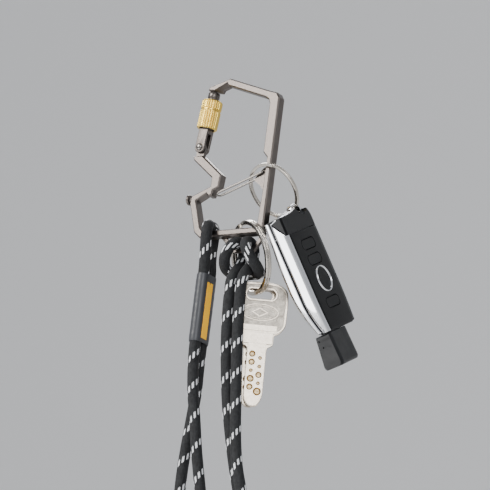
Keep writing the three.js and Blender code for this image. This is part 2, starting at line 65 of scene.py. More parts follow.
STRAND_INNER = [
    (-12.45, -3.12, -133.6), (-12.2, -3.2, -141.0), (-11.5, -3.2, -150.0), (-9.7, -3.2, -162.8),
    (-6.9, -3.2, -175.2), (-3.1, -3.2, -193.6), (0.0, -3.2, -206.0), (2.6, -3.2, -216.5),
    (4.0, -3.0, -227.0), (5.6, -2.4, -236.5), (9.6, -1.2, -245.2), (16.2, 0.2, -249.2),
    (22.8, 1.6, -245.4), (27.0, 2.6, -236.8), (25.6, 3.1, -226.0), (21.6, 3.0, -215.5),
    (16.6, 2.5, -199.2), (12.6, 1.0, -181.2), (10.0, -0.5, -166.4), (7.9, -2.0, -148.6),
    (6.8, -2.4, -139.5), (5.2, -2.5, -122.0), (4.7, -2.5, -110.0), (4.7, -2.5, -106.3),
]
STRAND_OUTER = [
    (-12.55, 3.12, -133.6), (-12.6, 3.2, -145.4), (-12.3, 3.2, -160.6), (-13.1, 3.2, -172.7),
    (-14.4, 3.2, -190.7), (-14.9, 3.2, -202.9), (-14.8, 3.2, -214.4), (-13.8, 3.2, -229.0),
    (-9.8, 3.0, -244.0), (-2.2, 2.4, -256.0), (8.4, 1.0, -262.2), (19.0, -0.8, -260.6),
    (28.0, -2.4, -252.6), (32.8, -3.3, -241.0), (31.8, -3.6, -230.0), (27.9, -3.6, -217.6),
    (22.8, -3.6, -201.6), (19.2, -3.4, -183.1), (17.1, -3.0, -167.7), (14.6, -2.6, -149.2),
    (13.5, -2.5, -140.0), (12.0, -2.5, -121.7), (11.4, -2.5, -110.0), (11.3, -2.5, -106.3),
]
BIGHT = [
    (-12.4, -3.12, -100.6), (-12.4, -3.25, -96.4), (-12.1, -4.3, -90.0), (-11.5, -6.0, -82.5),
    (-11.6, -6.25, -76.6), (-12.3, -4.9, -73.4), (-13.1, -2.6, -72.2), (-13.5, 0, -71.95),
    (-13.9, 2.6, -72.2), (-14.7, 4.9, -73.4), (-15.5, 6.25, -76.6), (-15.5, 6.0, -82.5),
    (-14.1, 4.3, -90.0), (-12.6, 3.25, -96.4), (-12.6, 3.12, -100.6),
]
HITCH_HALF = [
    (-3.3, -2.5, -106.3), (-3.3, -2.45, -104.2), (-3.2, -0.6, -99.4), (-3.2, 3.6, -94.0),
    (-3.15, 5.8, -88.2), (-3.1, 4.9, -84.0), (-3.2, 1.2, -82.15), (-3.4, -2.6, -83.0), (-5.2, -5.2, -86.6),
    (-7.9, -4.0, -91.6), (-9.4, 0.6, -95.6), (-7.2, 6.4, -97.2),
]
EYE_X = 8
CAP_TOP, CAP_SHOULDER, CAP_BOTTOM = 1.2, -1.0, -10.6
KEY_CX = 1.9


def add_object(name, data):
    obj = bpy.data.objects.new(name, data)
    bpy.context.scene.collection.objects.link(obj)
    return obj


# ------------------------------------------------------------------ camera
def make_camera():
    """Telephoto, 35 degrees round to the right, looking up 17 degrees, rolled about 7 degrees."""
    toward = Vector((0.5486, -0.7832, -0.2924))
    up = Vector((0.0669, -0.3076, 0.9492))
    right = up.cross(toward).normalized()
    up = toward.cross(right).normalized()
    centre = (right * VIEW_CENTRE[0] + up * VIEW_CENTRE[1]) * MM
    data = bpy.data.cameras.new("camera")
    data.sensor_width = 36
    data.lens = data.sensor_width * CAMERA_DISTANCE / (VIEW_WIDTH * MM)
    data.clip_start, data.clip_end = 0.1, 50
    camera = add_object("camera", data)
    turn = Matrix((right, up, toward)).transposed()
    camera.matrix_world = Matrix.Translation(centre + toward * CAMERA_DISTANCE) @ turn.to_4x4()
    bpy.context.scene.camera = camera


# ------------------------------------------------------------------ geometry helpers
def smooth_path(points, step):
    """Points a set distance apart along a centripetal Catmull-Rom curve."""
    p = [Vector(q) for q in points]
    p = [2 * p[0] - p[1]] + p + [2 * p[-1] - p[-2]]
    dense = []
    for i in range(1, len(p) - 2):
        knots = [0.0]
        for a, b in zip(p[i - 1:i + 2], p[i:i + 3]):
            knots.append(knots[-1] + max((b - a).length ** 0.5, 1e-4))
        parts = max(4, int((p[i + 1] - p[i]).length / step * 4))
        for k in range(parts):
            dense.append(_catmull(p[i - 1:i + 3], knots, knots[1] + (knots[2] - knots[1]) * k / parts))
    dense.append(p[-2])
    return even_path(dense, step)


def _catmull(p, t, x):
    def mix(a, b, ta, tb):
        return a * ((tb - x) / (tb - ta)) + b * ((x - ta) / (tb - ta))
    a1, a2, a3 = (mix(p[k], p[k + 1], t[k], t[k + 1]) for k in range(3))
    return mix(mix(a1, a2, t[0], t[2]), mix(a2, a3, t[1], t[3]), t[1], t[2])


def even_path(dense, step):
    gaps = [(b - a).length for a, b in zip(dense, dense[1:])]
    total = sum(gaps)
    count = max(2, round(total / step))
    out, run, k = [dense[0].copy()], 0.0, 0
    for i in range(1, count):
        target = total * i / count
        while run + gaps[k] < target:
            run += gaps[k]
            k += 1
        out.append(dense[k].lerp(dense[k + 1], (target - run) / gaps[k]))
    out.append(dense[-1].copy())
    return out


def frames_along(path, start=Vector((0, 1, 0.01))):
    """A normal and a binormal at each point, carried along without twisting."""
    tangents = []
    for i in range(len(path)):
        tangents.append((path[min(i + 1, len(path) - 1)] - path[max(i - 1, 0)]).normalized())
    normal = (start - tangents[0] * start.dot(tangents[0])).normalized()
    out = []
    for t in tangents:
        normal = (normal - t * normal.dot(t)).normalized()
        out.append((normal.copy(), t.cross(normal)))
    return out


def new_object(name, verts, faces, material, smooth=True):
    mesh = bpy.data.meshes.new(name)
    mesh.from_pydata([Vector(v) * MM for v in verts], [], faces)
    mesh.update()
    if smooth:
        mesh.polygons.foreach_set("use_smooth", [True] * len(mesh.polygons))
    obj = add_object(name, mesh)
    mesh.materials.append(material)
    return obj


def recalc(obj, sharp_angle=38):
    """Outward normals, and hard edges where faces meet at more than the angle."""
    bm = bmesh.new()
    bm.from_mesh(obj.data)
    bmesh.ops.recalc_face_normals(bm, faces=bm.faces)
    limit = math.radians(sharp_angle)
    for edge in bm.edges:
        edge.smooth = not (edge.is_manifold and edge.calc_face_angle(0.0) > limit)
    for face in bm.faces:
        face.smooth = True
    bm.to_mesh(obj.data)
    bm.free()
    return obj


def shift(x, y, z):
    return Matrix.Translation(Vector((x, y, z)) * MM)


def spin(degrees, axis):
    return Matrix.Rotation(math.radians(degrees), 4, axis)


def place(obj, matrix):
    obj.data.transform(matrix)


def evaluated_mesh(obj):
    bpy.context.view_layer.update()
    return bpy.data.meshes.new_from_object(obj.evaluated_get(bpy.context.evaluated_depsgraph_get()))


def finish_piece(obj, body, nodes=()):
    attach(obj, body)
    if nodes:
        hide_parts(*nodes)


def bevel(obj, width, segments, angle):
    mod = obj.modifiers.new("edge", "BEVEL")
    mod.width = width * MM
    mod.segments = segments
    mod.limit_method = "ANGLE"
    mod.angle_limit = math.radians(angle)


def even_shading(obj):
    """Shades big flat faces flat and lets the narrow edge faces carry the curve."""
    mod = obj.modifiers.new("shading", "WEIGHTED_NORMAL")
    mod.keep_sharp = True
    mod.weight = 80


def weld(obj):
    bm = bmesh.new()
    bm.from_mesh(obj.data)
    bmesh.ops.remove_doubles(bm, verts=bm.verts, dist=1e-7)
    bm.to_mesh(obj.data)
    bm.free()


def angles_round(sides):
    return [2 * math.pi * k / sides for k in range(sides)]


def cuboid(size, centre):
    verts = []
    for signs in ((x, y, z) for x in (-1, 1) for y in (-1, 1) for z in (-1, 1)):
        verts.append([c + sign * length / 2 for c, sign, length in zip(centre, signs, size)])
    faces = [(0, 1, 3, 2), (4, 6, 7, 5), (0, 4, 5, 1), (2, 3, 7, 6), (0, 2, 6, 4), (1, 5, 7, 3)]
    return verts, faces


def rings_to_mesh(name, rings, material, closed=False, cap=True):
    """Joins rings of points, each with the same count, into a skin."""
    n = len(rings[0])
    verts = [p for ring in rings for p in ring]
    faces = []
    rows = len(rings)
    for i in range(rows if closed else rows - 1):
        a, b = i * n, ((i + 1) % rows) * n
        for k in range(n):
            m = (k + 1) % n
            faces.append((a + k, a + m, b + m, b + k))
    if cap and not closed:
        faces.append(tuple(range(n))[::-1])
        faces.append(tuple((rows - 1) * n + k for k in range(n)))
    return recalc(new_object(name, verts, faces, material))


def sweep_round(name, path, radius, material, sides):
    """A round rod along the path, a little thinner at its two ends."""
    rings = []
    for i, (p, (n, b)) in enumerate(zip(path, frames_along(path))):
        r = radius * (0.6 if i in (0, len(path) - 1) else 1)
        rings.append([p + (n * math.cos(a) + b * math.sin(a)) * r for a in angles_round(sides)])
    return rings_to_mesh(name, rings, material)


def lathe(name, profile, material, sides):
    """Revolves [radius, height] points about Z. A profile that starts off the axis is closed into a ring."""
    rings = [[(r * math.cos(a), r * math.sin(a), z) for a in angles_round(sides)] for r, z in profile]
    obj = rings_to_mesh(name, rings, material, closed=profile[0][0] > 0, cap=False)
    weld(obj)
    return recalc(obj)


def flat_solid(name, outer, holes, depth, material, edge, resolution):
    """A plate in the XZ plane, centred on Y, from 2-D loops, with rounded edges."""
    curve = bpy.data.curves.new(name, "CURVE")
    curve.dimensions = "2D"
    curve.fill_mode = "BOTH"
    curve.extrude = (depth / 2 - edge) * MM
    curve.bevel_depth = edge * MM
    curve.bevel_resolution = resolution
    curve.offset = -edge * MM
    for loop in [outer] + list(holes):
        spline = curve.splines.new("POLY")
        spline.points.add(len(loop) - 1)
        for point, (x, z) in zip(spline.points, loop):
            point.co = (x * MM, z * MM, 0, 1)
        spline.use_cyclic_u = True
    temp = add_object(name + "_outline", curve)
    mesh = evaluated_mesh(temp)
    bpy.data.objects.remove(temp)
    mesh.transform(spin(90, "X"))
    obj = add_object(name, mesh)
    mesh.materials.clear()
    mesh.materials.append(material)
    weld(obj)
    return recalc(obj, 15)


def round_rect(w, h, r, cx=0, cz=0, steps=6):
    out = []
    for qx, qz, start in ((1, -1, -90), (1, 1, 0), (-1, 1, 90), (-1, -1, 180)):
        for k in range(steps + 1):
            a = math.radians(start + 90 * k / steps)
            out.append((cx + qx * (w / 2 - r) + r * math.cos(a), cz + qz * (h / 2 - r) + r * math.sin(a)))
    return out


def ellipse(a, b, cx=0, cz=0, steps=40):
    return [(cx + a * math.cos(t), cz + b * math.sin(t)) for t in angles_round(steps)]


def rounded(points, radius, steps=4):
    """A polygon with its corners rounded, all by one radius or each by its own."""
    out = []
    n = len(points)
    for i in range(n):
        p0, p1, p2 = (Vector(points[(i + k - 1) % n]) for k in range(3))
        r = radius[i] if isinstance(radius, (list, tuple)) else radius
        a, b = p0 - p1, p2 - p1
        cut = min(r, a.length * 0.48, b.length * 0.48)
        start, end = p1 + a.normalized() * cut, p1 + b.normalized() * cut
        for k in range(steps + 1):
            t = k / steps
            q = start * (1 - t) ** 2 + p1 * 2 * t * (1 - t) + end * t ** 2
            out.append((q.x, q.y))
    return out


def apply_boolean(obj, tool):
    """Takes the tool's solid out of the object."""
    mod = obj.modifiers.new("cut", "BOOLEAN")
    mod.object = tool
    mod.operation = "DIFFERENCE"
    mod.solver = "EXACT"
    mesh = evaluated_mesh(obj)
    obj.modifiers.clear()
    old = obj.data
    obj.data = mesh
    bpy.data.meshes.remove(old)
    bpy.data.objects.remove(tool)
    recalc(obj)


def cut_box(obj, size, centre):
    apply_boolean(obj, new_object("cutter", *cuboid(size, centre), obj.data.materials[0]))


# ------------------------------------------------------------------ local frames
def ring_matrix(ring):
    return shift(*ring["at"]) @ spin(ring["turn"], "Z") @ spin(-ring["tilt"], "X")


def ring_point(ring, degrees):
    a = math.radians(degrees)
    return ring_matrix(ring) @ (Vector((ring["r"] * math.sin(a), 0, -ring["r"] * math.cos(a))) * MM)


def gate_matrix():
    return shift(*PIVOT) @ spin(GATE_LEAN, "Y")


def key_matrix(angle):
    return Matrix.Translation(ring_point(RING_B, angle)) @ spin(KEY["turn"], "Z") @ spin(-KEY["lean"], "Y")


def fob_matrix():
    turned = spin(FOB["turn"], "Z") @ spin(FOB["pitch"], "X") @ spin(FOB["roll"], "Y")
    return Matrix.Translation(ring_point(RING_A, FOB_RING_ANGLE)) @ turned


# ------------------------------------------------------------------ materials
class Shader:
    """A small helper that builds one Principled material out of procedural nodes."""

    def __init__(self, name, color, roughness, metallic=0.0, **values):
        self.material = bpy.data.materials.new(name)
        self.material.use_nodes = True
        self.nodes = self.material.node_tree.nodes
        self.links = self.material.node_tree.links
        self.bsdf = self.nodes["Principled BSDF"]
        self.bsdf.inputs["Base Color"].default_value = (*color, 1)
        self.bsdf.inputs["Roughness"].default_value = roughness
        self.bsdf.inputs["Metallic"].default_value = metallic
        for key, value in values.items():
            self.bsdf.inputs[key.replace("_", " ")].default_value = value
        self.coords = self.nodes.new("ShaderNodeTexCoord")

    def noise(self, scale, detail=4, stretch=(1, 1, 1)):
        mapping = self.nodes.new("ShaderNodeMapping")
        mapping.inputs["Scale"].default_value = stretch
        self.links.new(self.coords.outputs["Object"], mapping.inputs["Vector"])
        tex = self.nodes.new("ShaderNodeTexNoise")
        for key, value in (("Scale", scale), ("Detail", detail), ("Roughness", 0.55)):
            tex.inputs[key].default_value = value
        self.links.new(mapping.outputs["Vector"], tex.inputs["Vector"])
        return tex.outputs["Fac"]

    def spread(self, source, low, high):
        """Maps 0.3 to 0.7 onto low to high."""
        node = self.nodes.new("ShaderNodeMapRange")
        for key, value in (("From Min", 0.3), ("From Max", 0.7), ("To Min", low), ("To Max", high)):
            node.inputs[key].default_value = value
        self.links.new(source, node.inputs["Value"])
        return node.outputs["Result"]

    def math(self, operation, a, b=0.0):
        node = self.nodes.new("ShaderNodeMath")
        node.operation = operation
        for socket, value in zip(node.inputs, (a, b)):
            if isinstance(value, (int, float)):
                socket.default_value = value
            else:
                self.links.new(value, socket)
        return node.outputs["Value"]

    def mix(self, factor, a, b):
        node = self.nodes.new("ShaderNodeMix")
        node.data_type = "RGBA"
        self.links.new(factor, node.inputs[0])
        for socket, value in zip((s for s in node.inputs if s.type == "RGBA"), (a, b)):
            if isinstance(value, tuple):
                socket.default_value = (*value, 1)
            else:
                self.links.new(value, socket)
        return [s for s in node.outputs if s.type == "RGBA"][0]

    def bump(self, height, strength, distance):
        node = self.nodes.new("ShaderNodeBump")
        node.inputs["Strength"].default_value = strength
        node.inputs["Distance"].default_value = distance * MM
        self.links.new(height, node.inputs["Height"])
        self.set("Normal", node.outputs["Normal"])

    def set(self, name, socket):
        self.links.new(socket, self.bsdf.inputs[name])


def blasted_metal(name, color, dark, roughness, grain=0.02, scale=2600):
    """Bead-blasted metal with a faint mottling."""
    s = Shader(name, color, roughness, 1.0)
    s.set("Base Color", s.mix(s.spread(s.noise(700, 5), 0.0, 1.0), dark, color))
    s.set("Roughness", s.spread(s.noise(1700, 4), roughness - 0.03, roughness + 0.05))
    s.bump(s.noise(scale, 2), 0.35, grain)
    return s.material


def polished_metal(name, color, roughness, scratches=0.006):
    s = Shader(name, color, roughness, 1.0)
    s.set("Roughness", s.spread(s.noise(300, 6, (1, 1, 6)), roughness * 0.75, roughness * 1.5))
    s.bump(s.noise(1500, 3, (4, 4, 1)), 0.25, scratches)
    return s.material


def plastic(name, color, roughness, grain=0.0, scale=2200, specular=0.5):
    s = Shader(name, color, roughness, 0.0, Specular_IOR_Level=specular)
    s.set("Roughness", s.spread(s.noise(260, 5), roughness * 0.85, roughness * 1.2))
    if grain:
        s.bump(s.noise(scale, 2), 0.3, grain)
    return s.material


def cord_material(name, base, light, tracer):
    """Braided sheath. UV holds turns round the cord and millimetres along it."""
    s = Shader(name, base, 0.78, 0.0, Sheen_Weight=0.06)
    uv = s.nodes.new("ShaderNodeUVMap")
    uv.uv_map = "braid"
    split = s.nodes.new("ShaderNodeSeparateXYZ")
    s.links.new(uv.outputs["UV"], split.inputs["Vector"])
    around, along = split.outputs["X"], split.outputs["Y"]
    ribs = CORD_COLUMNS * 2

    def off_centre(value):
        return s.math("ABSOLUTE", s.math("SUBTRACT", s.math("FRACT", value), 0.5))

    rib_value = s.math("MULTIPLY", around, ribs)
    rib = s.math("FLOOR", rib_value)
    column = s.math("FLOOR", s.math("DIVIDE", rib, 2))
    odd = s.math("MODULO", column, 2)
    # The tracer yarn climbs round the cord and shows in every second column, two ribs wide.
    row = s.math("SUBTRACT", s.math("DIVIDE", along, TRACER_PITCH), s.math("DIVIDE", rib, ribs))
    edge = off_centre(rib_value)
    length = s.math("ADD", off_centre(row), s.math("MULTIPLY", edge, 0.03))
    long_enough = s.math("LESS_THAN", length, 0.104)
    inside = s.math("LESS_THAN", edge, 0.495)
    slant = s.math("ADD", s.math("DIVIDE", along, STITCH), s.math("MULTIPLY", edge, 0.6))
    stitch = s.math("LESS_THAN", off_centre(slant), 0.44)
    mask = s.math("MULTIPLY", s.math("MULTIPLY", long_enough, inside), s.math("SUBTRACT", 1.0, odd))
    mask = s.math("MULTIPLY", mask, s.math("ADD", s.math("MULTIPLY", stitch, 0.4), 0.6))
    fibres = s.noise(900, 4, (1, 1, 0.35))
    yarn = s.mix(s.spread(fibres, 0.0, 1.0), base, light)
    s.set("Base Color", s.mix(mask, yarn, tracer))
    s.set("Roughness", s.spread(s.noise(700, 3), 0.68, 0.9))
    s.bump(fibres, 0.5, 0.08)
    return s.material


def knurl_brass():
    s = Shader("brass_knurled", (0.95, 0.66, 0.14), 0.3, 1.0)
    s.set("Base Color", s.mix(s.noise(420, 4), (0.84, 0.54, 0.08), (1.0, 0.74, 0.20)))
    s.set("Roughness", s.spread(s.noise(500, 4), 0.24, 0.42))
    s.bump(s.noise(2400, 2), 0.3, 0.015)
    return s.material


def stippled_nickel_painted_shade():
    """The recessed panel of a key bow: rows of tiny pits. Its nickel is a darker copy of the bow's nickel,
    painted shade for the recess, mottled at random.
    """
    s = Shader("nickel_stippled_painted_shade", (0.60, 0.54, 0.46), 0.40, 1.0)
    pits = s.nodes.new("ShaderNodeTexVoronoi")
    pits.inputs["Scale"].default_value = 1900
    s.links.new(s.coords.outputs["Object"], pits.inputs["Vector"])
    # Painted shade: the panel's nickel is painted darker than the raised rim's, with random mottling between
    # the two tones.
    s.set("Base Color", s.mix(s.spread(s.noise(300, 4), 0.0, 1.0), (0.34, 0.305, 0.26), (0.66, 0.60, 0.51)))
    s.bump(pits.outputs["Distance"], 0.6, 0.12)
    return s.material


def glowing_thread():
    """High-visibility yellow thread: saturated, with a faint painted glow from emission, ribbed across by its
    stitches.
    """
    # Painted glow: the emission lights the thread up though it is no lamp.
    s = Shader("stripe_yellow", (1.0, 0.50, 0.0), 0.55, 0.0, Emission_Strength=0.2)
    s.bsdf.inputs["Emission Color"].default_value = (1.0, 0.50, 0.0, 1)
    ribs = (1, 0.4, 2.5)
    s.set("Base Color", s.mix(s.spread(s.noise(1300, 4, ribs), 0.0, 1.0), (1.0, 0.43, 0.0), (1.0, 0.58, 0.0)))
    s.bump(s.noise(1500, 3, ribs), 0.6, 0.12)
    return s.material


def panel_black():
    """Gloss black with the faintest fine noise, like moulded piano black."""
    s = Shader("black_gloss", (0.0028, 0.0031, 0.0036), 0.12, 0.0, Specular_IOR_Level=0.15)
    s.set("Roughness", s.spread(s.noise(200, 5), 0.07, 0.16))
    return s.material


def make_materials():
    return {
        "titanium": blasted_metal("titanium", (0.165, 0.145, 0.132), (0.146, 0.128, 0.117), 0.34),
        "steel": polished_metal("steel", (0.27, 0.25, 0.23), 0.17),
        "ring_steel": polished_metal("ring_steel", (0.70, 0.65, 0.58), 0.15),
        "nickel": blasted_metal("nickel", (0.76, 0.68, 0.57), (0.60, 0.52, 0.42), 0.30),
        # The recessed key panel's nickel carries painted shade.
        "nickel_panel_painted_shade": stippled_nickel_painted_shade(),
        "brass": knurl_brass(),
        "dimple": polished_metal("dimple_floor", (0.86, 0.66, 0.38), 0.42),
        "dimple_dark": polished_metal("dimple_wall", (0.46, 0.25, 0.07), 0.4),
        "chrome": polished_metal("chrome", (0.86, 0.87, 0.89), 0.06, 0.001),
        "black": panel_black(),
        "cap_black": plastic("cap_dark", (0.004, 0.0044, 0.005), 0.13, specular=0.20),
        "matte": plastic("black_matte", (0.010, 0.0105, 0.0115), 0.36, 0.02, specular=0.35),
        "rubber": plastic("rubber", (0.018, 0.018, 0.018), 0.7, 0.02),
        "board": plastic("board", (0.03, 0.16, 0.06), 0.45, 0.01),
        "cord": cord_material("cord", (0.004, 0.0042, 0.0048), (0.016, 0.017, 0.019), (0.92, 0.93, 0.95)),
        "sleeve": plastic("sleeve_grey", (0.050, 0.052, 0.058), 0.36, 0.03, 900),
        "stripe": glowing_thread(),
    }


# ------------------------------------------------------------------ cord pieces
def braid_relief(turn, along):
    """Height of the braid in mm: narrow ribs along the cord, each a row of slanting stitches."""
    column = turn * CORD_COLUMNS * 2
    index = math.floor(column)
    across = column - index
    rib = math.sin(math.pi * across)
    lean = 1 if index % 2 else -1
    stitch = 0.5 + 0.5 * math.cos(2 * math.pi * (along / STITCH + lean * (across - 0.5) * 0.9))
    return 0.15 * rib ** 0.7 * (0.5 + 0.5 * stitch)


def braided_cord(name, points, material, phase, normal=Vector((0, 1, 0.01))):
    """A mesh tube along the points with the braid's relief, and UV in turns and millimetres.

    Also gives the centre line in metres, and the normal and phase from which another cord can carry on.
    """
    path = smooth_path(points, CORD_STEP)
    frames = frames_along(path, normal)
    verts, along = [], 0.0
    for i, (p, (n, b)) in enumerate(zip(path, frames)):
        if i:
            along += (p - path[i - 1]).length
        for k in range(CORD_SIDES):
            turn = k / CORD_SIDES
            a = 2 * math.pi * turn
            r = CORD_D / 2 - 0.10 + braid_relief(turn, along + phase)
            verts.append(p + (n * math.cos(a) + b * math.sin(a)) * r)
    rows = len(path)
    pitch = along / (rows - 1)
    faces, uvs = [], []
    for i in range(rows - 1):
        low, high = i * CORD_SIDES, (i + 1) * CORD_SIDES
        v0, v1 = i * pitch + phase, (i + 1) * pitch + phase
        for k in range(CORD_SIDES):
            m = (k + 1) % CORD_SIDES
            faces.append((low + k, low + m, high + m, high + k))
            u0, u1 = k / CORD_SIDES, (k + 1) / CORD_SIDES
            uvs += [(u0, v0), (u1, v0), (u1, v1), (u0, v1)]
    for end in (0, rows - 1):
        faces.append(tuple(end * CORD_SIDES + k for k in range(CORD_SIDES)))
        uvs += [PLAIN_BRAID_UV] * CORD_SIDES
    obj = new_object(name, verts, faces, material)
    layer = obj.data.uv_layers.new(name="braid")
    layer.data.foreach_set("uv", [c for uv in uvs for c in uv])
    centre = [p * MM for p in path[::10]] + [path[-1] * MM]
    return obj, centre, frames[-1][0], phase + along


def declare_strand(obj, node):
    finish_piece(obj, "carabiner", [node])


def build_lanyard(mats):
    """The strands and the hitch are one cord, so each takes up the braid where the last one stops."""
    cord = mats["cord"]
    bight, _, _, _ = braided_cord("lanyard_bight_braid", BIGHT, cord, 3.0)
    finish_piece(bight, "carabiner", ["lanyard_bight"])
    inner, centre, normal, phase = braided_cord("strand_inner_braid", STRAND_INNER, cord, 5.0)
    declare_strand(inner, "lanyard_strand_inner")
    right = [(-x, y, z) for x, y, z in reversed(HITCH_HALF)]
    hitch_points = [(EYE_X + x, y, z) for x, y, z in HITCH_HALF + [(0, 9.8, -96.4)] + right]
    hitch, _, normal, phase = braided_cord("lanyard_hitch_braid", hitch_points, cord, phase, normal)
    finish_piece(hitch, "carabiner", ["lanyard_hitch"])
    down = STRAND_OUTER[::-1]
    outer, centre, _, _ = braided_cord("strand_outer_braid", down, cord, phase, normal)
    declare_strand(outer, "lanyard_strand_outer")


def sleeve_section(half_x, half_y):
    """Shrink tube over two cords: a stadium with slightly hollow flats."""
    out = []
    for a in angles_round(72):
        side = 1 if math.sin(a) >= 0 else -1
        y = (half_y - half_x) * side + half_x * math.sin(a)
        hollow = 0.05 * math.exp(-(y / 1.6) ** 2)
        out.append((half_x * math.cos(a) * (1 - hollow), y))
    return out


def build_sleeve(mats):
    half_x, half_y, rows = 3.42, 6.52, 60
    rings = []
    for i in range(rows + 1):
        t = i / rows
        z = SLEEVE_TOP + (SLEEVE_BOTTOM - SLEEVE_TOP) * t
        shrink = 0.16 * math.exp(-min(t, 1 - t) * rows / 0.8)
        ripple = 0.05 * math.sin(z * 1.7) + 0.04 * math.sin(z * 0.9 + 1)
        section = sleeve_section(half_x - shrink + ripple * 0.5, half_y - shrink + ripple * 0.4)
        rings.append([(SLEEVE_X + x, y, z) for x, y in section])
    for ring in (rings[-1], rings[0]):
        rings.append([((x - SLEEVE_X) * 0.86 + SLEEVE_X, y * 0.93, z) for x, y, z in ring])
    sleeve = rings_to_mesh("splice_sleeve", rings, mats["sleeve"], closed=True)
    finish_piece(sleeve, "carabiner", ["lanyard_sleeve"])
    build_stripe(mats)


def build_stripe(mats):
    """The stitched stripe: slightly ragged edges and a notch at the top."""
    middle, half, thick, rows = -0.9, 2.5, 0.28, 40
    top, bottom = -103.3, -133.1
    rings = []
    for i in range(rows + 1):
        z = top + (bottom - top) * i / rows
        y = middle + 0.10 * math.sin(z * 3.1) * (1 if i % 2 else 0.3)
        x = SLEEVE_X + 3.30 + 0.012 * math.sin(z * 2)
        rings.append([(x, y - half, z), (x + thick, y - half + 0.15, z),
                      (x + thick, y + half - 0.15, z), (x, y + half, z)])
    stripe = rings_to_mesh("sleeve_stripe", rings, mats["stripe"])
    cut_box(stripe, (0.6, 0.9, 1.6), (SLEEVE_X + 3.5, middle, top))
    finish_piece(stripe, "carabiner", ["lanyard_stripe"])


# ------------------------------------------------------------------ carabiner
def build_stud(mats):
    stud = lathe("side_stud_turned", [
        (0.0, 0), (0.9, 0), (1.0, 0.35), (2.35, 0.35), (2.65, 0.5), (2.8, 0.8), (2.8, 1.5), (2.6, 1.8),
        (1.5, 2.0), (1.3, 2.4), (1.3, 5.1), (0.0, 5.1)], mats["titanium"], 48)
    place(stud, shift(-30.4, 0, -56.6) @ spin(90, "Y"))
    finish_piece(stud, "carabiner", ["side_stud"])


def build_rivet(mats):
    rivet = lathe("gate_rivet", [
        (0.0, -4.2), (0.8, -4.12), (1.4, -3.9), (1.8, -3.55), (1.9, -3.3), (1.1, -3.2),
        (1.1, 3.2), (1.9, 3.3), (1.8, 3.55), (1.4, 3.9), (0.8, 4.12), (0.0, 4.2)], mats["steel"], 40)
    place(rivet, shift(*PIVOT) @ spin(90, "X"))
    finish_piece(rivet, "carabiner", ["gate_pivot_rivet"])


def build_gate(mats):
    titanium = mats["titanium"]
    fork_outline = rounded([(2.8, -2.8), (2.8, 10.2), (-2.8, 10.2), (-2.8, -2.8)], [2.8, 0.5, 0.5, 2.8], 8)
    for side, tag, nodes in ((-1, "front", ["gate_stem"]), (1, "back", [])):
        cheek = flat_solid(f"gate_cheek_{tag}", fork_outline, [ellipse(1.2, 1.2)], 1.42, titanium, 0.35, 3)
        place(cheek, gate_matrix() @ shift(0, side * 2.22, 0))
        bevel(cheek, 0.05, 1, 40)
        finish_piece(cheek, "main_gate", nodes)
    shoulder = flat_solid("gate_shoulder", round_rect(5.56, 2.6, 0.5, 0, 8.9, 4), [], 5.8, titanium, 0.3, 2)
    place(shoulder, gate_matrix())
    finish_piece(shoulder, "main_gate", [])
    stem = lathe("gate_barrel", [
        (1.6, 10.1), (2.6, 10.1), (3.0, 10.25), (3.1, 10.5), (3.1, 26.3), (2.95, 26.5), (2.95, 26.9),
        (3.1, 27.1), (3.1, 29.7), (2.75, 30.2), (1.0, 30.2), (1.0, 17.6), (1.6, 17.2)], titanium, 64)
    cut_box(stem, (5.2, 1.7, 4.4), (-1.4, 0, 28.6))
    place(stem, gate_matrix())
    finish_piece(stem, "main_gate", [])


def knurl(angle, height, radius):
    """Upright ribs with a fine cross-cut; the plain edges and the groove stay smooth."""
    if radius < 5.2:
        return radius
    rib = abs(math.cos(angle * BRASS_RIBS / 2))
    cut = 0.5 + 0.5 * math.cos(2 * math.pi * (height / 0.95 + angle * BRASS_RIBS / (2 * math.pi) * 1.6))
    return radius - 0.40 + 0.40 * min(1.0, rib * 1.25) ** 0.8 - 0.09 * cut ** 2


def build_lock_sleeve(mats):
    bottom, top, r, bore, row = 10.4, 25.9, 5.4, 3.45, 0.2
    groove = top - (top - bottom) / 3
    profile = [(bore, bottom + 2.1), (4.12, bottom + 2.0), (4.12, bottom + 0.1), (4.25, bottom)]
    profile += [(r - 0.6, bottom), (r - 0.45, bottom + 0.1)]
    profile += [(r, bottom + 0.55 + k * row) for k in range(int((groove - 0.4 - bottom - 0.55) / row))]
    profile += [(r - 0.5, groove - 0.3), (r - 0.5, groove + 0.3)]
    profile += [(r, groove + 0.45 + k * row) for k in range(int((top - 0.5 - groove - 0.45) / row))]
    profile += [(r - 0.45, top - 0.1), (r - 0.6, top), (3.6, top), (bore, top - 0.15), (bore, bottom + 2.1)]
    rings = []
    for radius, z in profile:
        rings.append([(knurl(a, z, radius) * math.cos(a), knurl(a, z, radius) * math.sin(a), z)
                      for a in angles_round(240)])
    sleeve = rings_to_mesh("lock_sleeve_knurled", rings, mats["brass"], cap=False)
    place(sleeve, gate_matrix())
    finish_piece(sleeve, "sleeve", ["lock_sleeve"])


def build_wire_gate(mats):
    pivot, nose, half = Vector((15.6, 0, -45.2)), Vector((-12.2, 0, -55.1)), 1.95
    along = nose - pivot
    length = along.length
    along.normalize()

    def point(d, y):
        q = pivot + along * d
        return (q.x, y, q.z)

    leg = [point(0, 0.3), point(0, 0.7), point(0, half - 0.85), point(0.25, half - 0.25), point(0.85, half),
           point(4, half), point(length * 0.5, half), point(length - half, half)]
    tip = [point(length - half + half * math.sin(math.radians(d)), half * math.cos(math.radians(d)))
           for d in (22, 45, 67, 90, 113, 135, 158)]
    points = leg + tip + [(x, -y, z) for x, y, z in reversed(leg)]
    wire = sweep_round("wire_gate_bent", smooth_path(points, 0.3), 0.6, mats["steel"], 20)
    finish_piece(wire, "wire_gate", ["wire_gate"])


